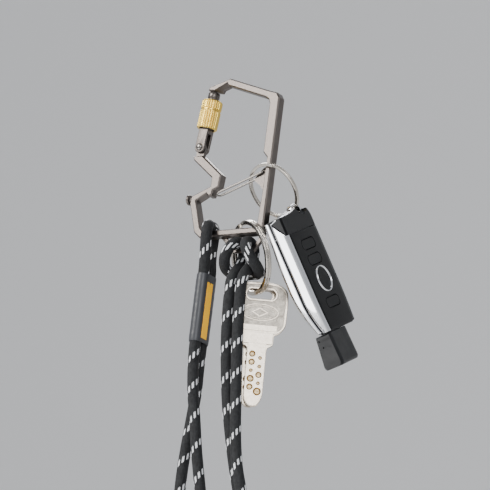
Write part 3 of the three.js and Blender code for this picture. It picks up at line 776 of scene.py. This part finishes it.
def build_split_ring(name, ring, gap_at, material, body, node):
    """Two turns of flat wire: they lie side by side and cross over in one place."""
    turns, steps = 2, 150
    w, h = ring["radial"], ring["coil"] / 2
    c = 0.26 * min(w, h)
    section = rounded([(-w + c, -h), (w - c, -h), (w, -h + c), (w, h - c),
                       (w - c, h), (-w + c, h), (-w, h - c), (-w, -h + c)], c * 0.7, 2)
    offset = h + 0.02
    last = turns * steps
    rings = []
    for i in range(last + 1):
        t = i / last
        turn = 2 * math.pi * turns * (0.004 + 0.992 * t) + math.radians(gap_at)
        y = offset * math.tanh((t - 0.5) * turns * 360 / 14)
        taper = 0.9 if i in (0, last) else 1.0
        outward = Vector((math.cos(turn), 0, math.sin(turn)))
        rings.append([outward * (ring["r"] + a * taper) + Vector((0, y + b * taper, 0)) for a, b in section])
    obj = rings_to_mesh(name, rings, material)
    place(obj, ring_matrix(ring))
    finish_piece(obj, body, [node])


# ------------------------------------------------------------------ house keys
def key_loops():
    cx, half, top, bow = KEY_CX, 14.0, 5.2, -22.0
    outer = rounded([
        (cx - 9.0, top - 0.2), (cx, top + 0.5), (cx + 9.0, top - 0.2), (cx + half - 0.5, top - 3.4),
        (cx + half, top - 9), (cx + half - 0.3, bow + 4.5), (cx + half - 3.6, bow + 0.4),
        (cx + 8.1, bow - 0.3), (cx + 8.0, bow - 5.6), (cx + 6.2, bow - 6.6), (cx + 5.2, bow - 7.2),
        (cx + 4.9, bow - 9.0), (cx + 4.8, -55.5), (cx + 2.2, -60.6), (cx - 2.2, -60.6), (cx - 4.8, -56.5),
        (cx - 4.9, bow - 9.0), (cx - 5.2, bow - 7.2), (cx - 6.2, bow - 6.6), (cx - 8.0, bow - 5.6),
        (cx - 8.1, bow - 0.3), (cx - half + 3.6, bow + 0.4), (cx - half + 0.3, bow + 4.5),
        (cx - half, top - 9), (cx - half + 0.5, top - 3.4)],
        [6, 14, 6, 4, 8, 6, 2.5, 1, 1.2, 0.8, 0.8, 2, 2.6, 2.2,
         2.2, 2.6, 2, 0.8, 0.8, 1.2, 1, 2.5, 6, 8, 4], 6)
    slot = round_rect(14.8, 5.2, 2.55, cx, -0.95, 8)
    return outer, slot


def bow_outline(inset):
    """Outline of the key's bow, drawn in by the inset."""
    cx, i = KEY_CX, inset
    return rounded([
        (cx - 9.0, 5.0 - i), (cx, 5.7 - i), (cx + 9.0, 5.0 - i),
        (cx + 13.5 - i, 1.8 - i * 0.4), (cx + 14.0 - i, -3.8),
        (cx + 13.7 - i, -17.5), (cx + 10.4 - i * 0.6, -21.6 + i), (cx - 10.4 + i * 0.6, -21.6 + i),
        (cx - 13.7 + i, -17.5), (cx - 14.0 + i, -3.8), (cx - 13.5 + i, 1.8 - i * 0.4)],
        [6, 14, 6, 4, 8, 6, 3, 3, 6, 8, 4], 6)


def dimple(name, x, z, r, side, mats):
    """A drilled cup in the blade: dark wall, bright brass floor."""
    top = KEY["thick"] / 2 - 0.04
    wall = [(0.99, 0.0), (1.0, -0.012), (0.74, -0.30), (0.66, -0.31), (0.94, -0.02), (0.97, 0.0)]
    floor = [(0.0, -0.33), (0.70, -0.31), (0.62, -0.24), (0.40, -0.26), (0.22, -0.33), (0.0, -0.36)]
    out = []
    for part, profile, material in (("wall", wall, mats["dimple_dark"]), ("floor", floor, mats["dimple"])):
        obj = lathe(f"{name}_{part}", [(r * share, depth) for share, depth in profile], material, 28)
        place(obj, shift(x, side * top, z) @ spin(-90 * side, "X"))
        out.append(obj)
    return out


def build_key(name, angle, body, node, mats):
    cx, thick, nickel = KEY_CX, KEY["thick"], mats["nickel"]
    pieces = []

    def add(part, outline, holes, depth, edge, resolution, material=nickel):
        pieces.append(flat_solid(f"{name}_{part}", outline, holes, depth, material, edge, resolution))

    outer, slot = key_loops()
    slot_rim = round_rect(17.0, 7.4, 3.6, cx, -0.95, 8)
    add("blank", outer, [slot], 1.30, 0.12, 1)
    # Raised rim round the bow and round the slot, with the stippled panel between them.
    add("rim", bow_outline(0), [bow_outline(1.35)], thick, 0.28, 3)
    add("slot_rim", slot_rim, [slot], thick, 0.28, 3)
    # The panel's darker nickel is painted shade for the recess.
    add("panel", bow_outline(1.2), [slot_rim], 1.62, 0.03, 1, mats["nickel_panel_painted_shade"])
    # A plain double oval with a small diamond inside it, in low relief.
    middle = -10.6
    for i, (a, b, w) in enumerate([(9.6, 4.6, 0.55), (8.3, 3.5, 0.35)]):
        hole = ellipse(a - w, b - w, cx, middle, 56)
        add(f"oval_{i}", ellipse(a, b, cx, middle, 56), [hole], 1.98, 0.09, 2)
    diamonds = [[(cx, middle + h), (cx + w, middle), (cx, middle - h), (cx - w, middle)]
                for w, h in ((4.4, 2.5), (3.2, 1.8))]
    add("diamond", diamonds[0], [diamonds[1]], 1.98, 0.09, 2)
    # Smooth band under the panel, shoulders, and the two rows of dimples along the blade.
    band = rounded([(cx - 9.6, -17.2), (cx + 9.6, -17.2), (cx + 9.2, -21.2), (cx - 9.2, -21.2)], 0.7, 3)
    add("band", band, [], 1.95, 0.16, 2)
    neck = rounded([(cx - 7.8, -20.8), (cx + 7.8, -20.8), (cx + 7.7, -27.4), (cx - 7.7, -27.4)], 0.8, 3)
    add("neck", neck, [], thick - 0.04, 0.2, 2)
    blade = rounded([(cx - 4.7, -27.0), (cx + 4.7, -27.0), (cx + 4.6, -55.4), (cx + 2.1, -60.3),
                     (cx - 2.1, -60.3), (cx - 4.6, -56.4)], [0.3, 0.3, 2.5, 2.1, 2.1, 2.5], 5)
    rows = [
        (-2.07, -32.9, 1.6), (2.07, -34.8, 0.9), (-2.07, -37.2, 1.6), (2.07, -39.4, 0.9), (-2.05, -41.7, 0.9),
        (2.0, -43.8, 1.55), (-2.05, -46.0, 1.8), (2.1, -48.2, 0.9), (-2.05, -50.4, 1.6), (1.95, -52.6, 2.0)]
    add("blade", blade, [ellipse(r, r, cx + x, z, 28) for x, z, r in rows], thick - 0.08, 0.1, 1)
    for i, (x, z, r) in enumerate(rows):
        for side in (-1, 1):
            pieces += dimple(f"{name}_dimple_{i}_{side}", cx + x, z, r, side, mats)
    merged = merge(name + "_cut", pieces)
    place(merged, key_matrix(angle))
    even_shading(merged)
    finish_piece(merged, body, [node])


def merge(name, objs):
    """One object out of several, keeping each one's material."""
    bm = bmesh.new()
    materials = []
    for obj in objs:
        material = obj.data.materials[0]
        if material not in materials:
            materials.append(material)
        index = materials.index(material)
        start = len(bm.faces)
        bm.from_mesh(obj.data)
        bm.faces.ensure_lookup_table()
        for face in bm.faces[start:]:
            face.material_index = index
    mesh = bpy.data.meshes.new(name)
    bm.to_mesh(mesh)
    bm.free()
    for obj in objs:
        bpy.data.objects.remove(obj)
    for material in materials:
        mesh.materials.append(material)
    return add_object(name, mesh)


# ------------------------------------------------------------------ car key
def fob_back_at(z):
    """Back profile of the car key, straight between its points."""
    if z >= FOB_BACK[0][0]:
        return FOB_BACK[0][1]
    for (z0, y0), (z1, y1) in zip(FOB_BACK, FOB_BACK[1:]):
        if z >= z1:
            return y0 + (y1 - y0) * (z0 - z) / (z0 - z1)
    return FOB_BACK[-1][1]


def fob_back(z):
    """The same profile, averaged so its corners round off."""
    return sum(fob_back_at(z + d) for d in (-3, -1.5, 0, 1.5, 3)) / 5


def fob_seam_y(z):
    """Where the two chrome bands meet on the narrow side."""
    t = max(0.0, (-46 - z) / 18)
    return 2.9 - 3.2 * t ** 1.6


def fob_half(z):
    """Half width: square at the top, drawn in a little towards the nose."""
    return FOB["w"] / 2 - 1.3 * max(0.0, (-40 - z) / 24) ** 2


def band_section(z, side, part, thick):
    """Outline across the narrow side, from the front corner round to the seam, or seam to back corner."""
    half = fob_half(z)
    front, back, seam = FOB["front"], fob_back(z), fob_seam_y(z)
    if part == "front":
        r = 1.5
        line = [(half - 2.2, front + 0.05), (half - r, front + 0.12)]
        line += [(half - r + r * math.sin(a), front + 0.12 + r - r * math.cos(a))
                 for a in map(math.radians, (20, 40, 60, 78))]
        line += [(half + 0.12, front + 3.2), (half + 0.16, (front + seam) / 2 + 0.6)]
        line += [(half + 0.10, seam - 1.7), (half - 0.06, seam - 0.95), (half - 0.5, seam - 0.42)]
    else:
        r = min(2.6, max(0.6, (back - seam) * 0.55))
        line = [(half - 0.42, seam + 0.36), (half - 0.04, seam + 0.75)]
        line += [(half - r + r * math.cos(a), back - r + r * math.sin(a))
                 for a in map(math.radians, (5, 25, 45, 65, 85))]
        line += [(half - r - 1.0, back - 0.02)]
    inner = []
    for i, (x, y) in enumerate(line):
        a, b = line[max(i - 1, 0)], line[min(i + 1, len(line) - 1)]
        dx, dy = b[0] - a[0], b[1] - a[1]
        n = math.hypot(dx, dy) or 1
        inner.append((x - dy / n * thick, y + dx / n * thick))
    return [(FOB["x"] + side * x, y) for x, y in line + inner[::-1]]


def build_band(name, side, part, z_top, z_bottom, material, node):
    """z_top is a function of y, so the band's top end can be cut on a slant."""
    rows = 70
    highest = max(z_top(-4.5), z_top(8.0))
    rings = []
    for i in range(rows + 1):
        t = i / rows
        level = z_bottom + (highest - z_bottom) * t
        thick = 0.4 + 0.65 * min(1.0, max(0.0, (FOB["cap"] - level) / 4))
        rings.append([(x, y, z_bottom + (z_top(y) - z_bottom) * t)
                      for x, y in band_section(level, side, part, thick)])
    obj = rings_to_mesh(name, rings, material)
    bevel(obj, 0.12, 2, 50)
    place(obj, fob_matrix())
    finish_piece(obj, "fob_body", [node])


def fob_panel(name, y_of, thick, z_bottom, inset, material, crown):
    """A face panel of the car key, crowned a little across its width, from z_bottom up to the cap."""
    rows, cols = 60, 24
    height = FOB["cap"] - z_bottom
    sign = -1 if y_of(-30) < 0 else 1
    rings = []
    for i in range(rows + 1):
        z = z_bottom + height * i / rows
        half = fob_half(z) - inset
        end = min(i, rows - i) * height / rows
        outer, inner = [], []
        for k in range(cols + 1):
            u = -1 + 2 * k / cols
            edge = max(0.0, abs(u) - 0.93) / 0.07
            soft = 0.35 * edge ** 2 + 0.35 * max(0.0, 1 - end / 0.7) ** 2
            x = FOB["x"] + u * half
            outer.append((x, y_of(z) + sign * (crown * (1 - u * u) - soft), z))
            inner.append((x, y_of(z) - sign * thick, z))
        rings.append(outer + inner[::-1])
    return rings_to_mesh(name, rings, material)


def build_fob_body(mats):
    chrome, black = mats["chrome"], mats["black"]

    def front_top(y):
        return -10.6 + 8.6 * min(1.0, max(0.0, (y + 3.6) / 6.2)) ** 1.1

    def back_top(y):
        return -2.2 + 1.6 * min(1.0, max(0.0, (y - 2.6) / 4))

    for side, tag in ((-1, "near"), (1, "far")):
        build_band(f"chrome_{tag}_front", side, "front", front_top, -63.6, chrome, f"fob_rail_{tag}_front")
        build_band(f"chrome_{tag}_back", side, "back", back_top, -63.0, chrome, f"fob_rail_{tag}_back")
    panel = fob_panel("fob_front_panel", lambda z: FOB["front"], 1.4, -63.8, 2.0, black, 0.22)
    for z in BUTTON_Z:
        well = flat_solid("well", round_rect(15.36, 5.96, 2.78, FOB["x"], z), [], 12, black, 0.02, 1)
        place(well, shift(0, -6.0, 0))
        apply_boolean(panel, well)
    place(panel, fob_matrix())
    finish_piece(panel, "fob_body", ["fob_front_shell"])
    back = fob_panel("fob_back_panel", lambda z: fob_back(z) - 0.35, 1.2, -63.6, 2.4, mats["cap_black"], 0.3)
    well = flat_solid("well_latch", round_rect(11.4, 4.4, 1.0, FOB["x"], LATCH_Z), [], 8, black, 0.02, 1)
    place(well, shift(0, 8.6, 0))
    apply_boolean(back, well)
    place(back, fob_matrix())
    finish_piece(back, "fob_body", ["fob_back_shell"])
    build_mid_frame(mats["matte"])
    emblem = lathe("fob_emblem", [
        (6.35, 0.3), (6.45, -0.25), (6.7, -0.55), (6.95, -0.55), (7.15, -0.25), (7.25, 0.3)], chrome, 72)
    place(emblem, fob_matrix() @ shift(FOB["x"] + 0.6, FOB["front"] - 0.25, -38) @ spin(-90, "X"))
    finish_piece(emblem, "fob_body", ["fob_emblem_ring"])
    build_fob_nose(mats["matte"])


def build_mid_frame(material):
    """Dark hollow frame seen in the seams, open under the buttons, the latch and the blade."""
    bottom, top, rows = -64.25, -11.15, 30
    rings = []
    for i in range(rows + 1):
        z = bottom + (top - bottom) * i / rows
        half = fob_half(z) - 1.5
        y0, y1 = FOB["front"] + 1.2, max(fob_back(z) - 2.0, FOB["front"] + 3.2)
        section = rounded([(-half, y0), (half, y0), (half, y1), (-half, y1)], 1.3, 4)
        rings.append([(FOB["x"] + x, y, z) for x, y in section])
    core = rings_to_mesh("fob_mid_frame", rings, material)
    cuts = [((28.6, 6.0, 47.8), 0.9, -37.1), ((28.0, 7.0, 1.6), 0.9, -11.2), ((7.4, 3.0, 6), 0.05, -12.6)]
    cuts += [((16.2, 4, 6.8), -4.2, z) for z in BUTTON_Z] + [((12.2, 6, 5.2), 6.4, LATCH_Z)]
    for size, y, z in cuts:
        cut_box(core, size, (FOB["x"], y, z))
    place(core, fob_matrix())
    finish_piece(core, "fob_body", [])


def build_fob_nose(material):
    outline = rounded([
        (-4.2, -64.35), (-4.7, -80.6), (-3.8, -82.1), (6.0, -82.1), (6.9, -80.6), (4.8, -64.35)],
        [0.6, 2.0, 1.6, 1.6, 2.0, 0.6], 5)
    x0, x1, rows = -25.3, -4.6, 16
    mid_y, mid_z = 1.0, -73.2
    rings = []
    for i in range(rows + 1):
        t = i / rows
        shrink = 0.9 * max(0.0, 1 - min(t, 1 - t) * (x1 - x0) / 1.1) ** 2
        rings.append([(x0 + (x1 - x0) * t, mid_y + (y - mid_y) * (1 - shrink * 0.16),
                       mid_z + (z - mid_z) * (1 - shrink * 0.08)) for y, z in outline])
    nose = rings_to_mesh("fob_nose_block", rings, material)
    for z, width in ((-66.9, 6.6), (-70.4, 4.6)):
        cut_box(nose, (1.3, width, 1.0), (x0, 0.2, z))
    place(nose, fob_matrix())
    even_shading(nose)
    finish_piece(nose, "fob_body", ["fob_nose"])


def cap_near(z):
    """Near edge of the cap: upright beside the chrome bands, then a long hollow curve up to the eyelet."""
    rise = max(0.0, (z - CAP_SHOULDER) / (CAP_TOP - CAP_SHOULDER))
    return -25.25 + 21.0 * rise ** (1 / 2.2)


def cap_far(z):
    """Far edge of the cap: one long curve down from the eyelet."""
    arch = max(0.0, 1 - (CAP_TOP - z) / 7.2)
    return 9.25 - 7.4 * (1 - math.sqrt(max(0.0, 1 - arch * arch)))


def build_fob_cap(mats):
    """Cap of the mechanical key with its collar, eyelet and chrome trim."""
    matrix, front, black, chrome = fob_matrix(), FOB["front"], mats["cap_black"], mats["chrome"]
    low_rows, high_rows = 12, 36
    heights = [CAP_BOTTOM + (CAP_SHOULDER - CAP_BOTTOM) * i / low_rows for i in range(low_rows)]
    heights += [CAP_SHOULDER + (CAP_TOP - CAP_SHOULDER) * (i / high_rows) ** 1.8
                for i in range(high_rows + 1)]
    rings = []
    for z in heights:
        soft = 0.9 * max(0.0, 1 - (CAP_TOP - z) / 1.6) ** 2
        y0, y1 = front + 0.15 + soft, fob_back(z) - 0.5 - soft
        section = rounded([(cap_near(z), y0), (cap_far(z), y0), (cap_far(z), y1), (cap_near(z), y1)],
                          [1.2, 1.6, 2.2, 2.2], 5)
        rings.append([(x, y, z) for x, y in section])
    cap = rings_to_mesh("fob_cap", rings, black)
    for side in (-1, 1):
        scoop = flat_solid("scoop", ellipse(6.2, 4.7, 1.3, 1.1, 48), [], 8, black, 0.02, 1)
        place(scoop, shift(0, side * 5.7, 0))
        apply_boolean(cap, scoop)
    apply_boolean(cap, flat_solid("eye_hole", round_rect(7.4, 4.6, 2.2, 0.4, -0.5), [], 20, black, 0.02, 1))
    box = cuboid((27.2, 6.4, 1.5), (FOB["x"], 0.9, -10.95))
    collar = new_object("fob_cap_collar", *box, mats["matte"], False)
    place(collar, matrix)
    finish_piece(collar, "fob_key", [])
    place(cap, matrix)
    even_shading(cap)
    finish_piece(cap, "fob_key", ["fob_key_head"])
    eyelet = flat_solid("fob_eyelet", round_rect(11.2, 8.6, 3.6, 0.9, -1.1, 8),
                        [round_rect(7.4, 4.6, 2.2, 0.4, -0.5, 8)], 3.5, chrome, 0.6, 4)
    place(eyelet, matrix)
    finish_piece(eyelet, "fob_key", [])
    edge = -25.3
    near = [(edge, 2.4, -2.6), (edge + 0.05, 0.4, -1.9), (edge + 0.5, -1.6, -1.25)]
    near += [(edge + 2.2, front + 1.3, -0.98)]
    near += [(x, front + 1.1, z) for x, z in
             ((-19.0, -0.8), (-15.5, -0.55), (-12.0, -0.25), (-8.7, 0.17), (-6.4, 0.6), (-4.5, 1.05))]
    far = [(cap_far(z) + 0.02, front + 0.9, z) for z in (-1.2, -2.0, -3.2, -4.8, -7.0, -9.6)]
    for tag, points in (("near", near), ("far", far)):
        trim = sweep_round(f"fob_cap_trim_{tag}", smooth_path(points, 0.4), 0.36, chrome, 12)
        place(trim, matrix)
        finish_piece(trim, "fob_key", [])


# ------------------------------------------------------------------ pieces kept from the CAD
def dress_cad(mats):
    """Material and softened edges, in mm, for each node that is shown as the CAD has it."""
    kept = {
        "carabiner_frame": ("titanium", 0.36), "gate_push_rod": ("steel", 0.05),
        "gate_spring": ("steel", 0), "sleeve_friction_ring": ("rubber", 0.1),
        "fob_key_blade": ("steel", 0.08), "fob_circuit_board": ("board", 0.05),
        "fob_battery": ("steel", 0.2), "fob_latch_slider": ("matte", 0.15),
    }
    for name in ("lock", "unlock", "boot"):
        kept[f"fob_{name}_button"] = ("black", 0.12)
    for node, (material, edge) in kept.items():
        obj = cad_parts[node]
        obj.data.materials.clear()
        obj.data.materials.append(mats[material])
        if edge:
            bevel(obj, edge, 3, 22)
            even_shading(obj)


# ------------------------------------------------------------------ stage
def area_light(name, location, size, power, color=(1, 1, 1)):
    """A soft lamp that the camera doesn't see, pointed at the middle of the object."""
    data = bpy.data.lights.new(name, "AREA")
    data.shape = "RECTANGLE"
    data.size, data.size_y = size
    data.energy = power
    data.color = color
    lamp = add_object(name, data)
    lamp.location = location
    lamp.rotation_euler = (Vector((0, 0, -0.09)) - Vector(location)).to_track_quat("-Z", "Y").to_euler()
    lamp.visible_camera = False


def build_stage():
    """Pale floor and backdrop, both well outside the distance at which other views put the camera."""
    pale = Shader("stage", (0.92, 0.92, 0.92), 0.9).material
    wide, low, high, back = 9000, -1350, 6000, 3500
    sheets = {
        "floor": [(-wide, -wide, low), (wide, -wide, low), (wide, back, low), (-wide, back, low)],
        "backdrop": [(-wide, back, low), (wide, back, low), (wide, back, high), (-wide, back, high)],
    }
    floor, backdrop = (new_object(name, corners, [(0, 1, 2, 3)], pale, False)
                       for name, corners in sheets.items())
    world = bpy.data.worlds.new("world")
    world.use_nodes = True
    sky = world.node_tree.nodes["Background"]
    sky.inputs["Color"].default_value = (0.86, 0.88, 0.92, 1)
    sky.inputs["Strength"].default_value = 0.60
    bpy.context.scene.world = world
    area_light("key_light", (-0.9, -1.5, 0.8), (0.8, 0.9), 30, (1.0, 0.985, 0.96))
    area_light("fill_light", (1.15, -1.6, 0.35), (0.8, 0.9), 13, (0.97, 0.98, 1.0))
    area_light("rim_light", (-0.9, 1.3, 1.4), (0.8, 0.8), 26)
    area_light("low_light", (-0.62, -1.45, -1.15), (1.3, 0.9), 17)


def main():
    make_camera()
    mats = make_materials()
    for build in (build_lanyard, build_sleeve, build_stud, build_rivet, build_gate, build_lock_sleeve,
                  build_wire_gate):
        build(mats)
    build_split_ring("upper_ring_coils", RING_A, 62, mats["ring_steel"], "upper_ring", "upper_split_ring")
    build_split_ring("lower_ring_coils", RING_B, 100, mats["ring_steel"], "lower_ring", "lower_split_ring")
    build_key("key_front", KEY["front"], "key_front", "house_key_front", mats)
    build_key("key_back", KEY["back"], "key_back", "house_key_back", mats)
    build_fob_body(mats)
    build_fob_cap(mats)
    dress_cad(mats)
    build_stage()


main()
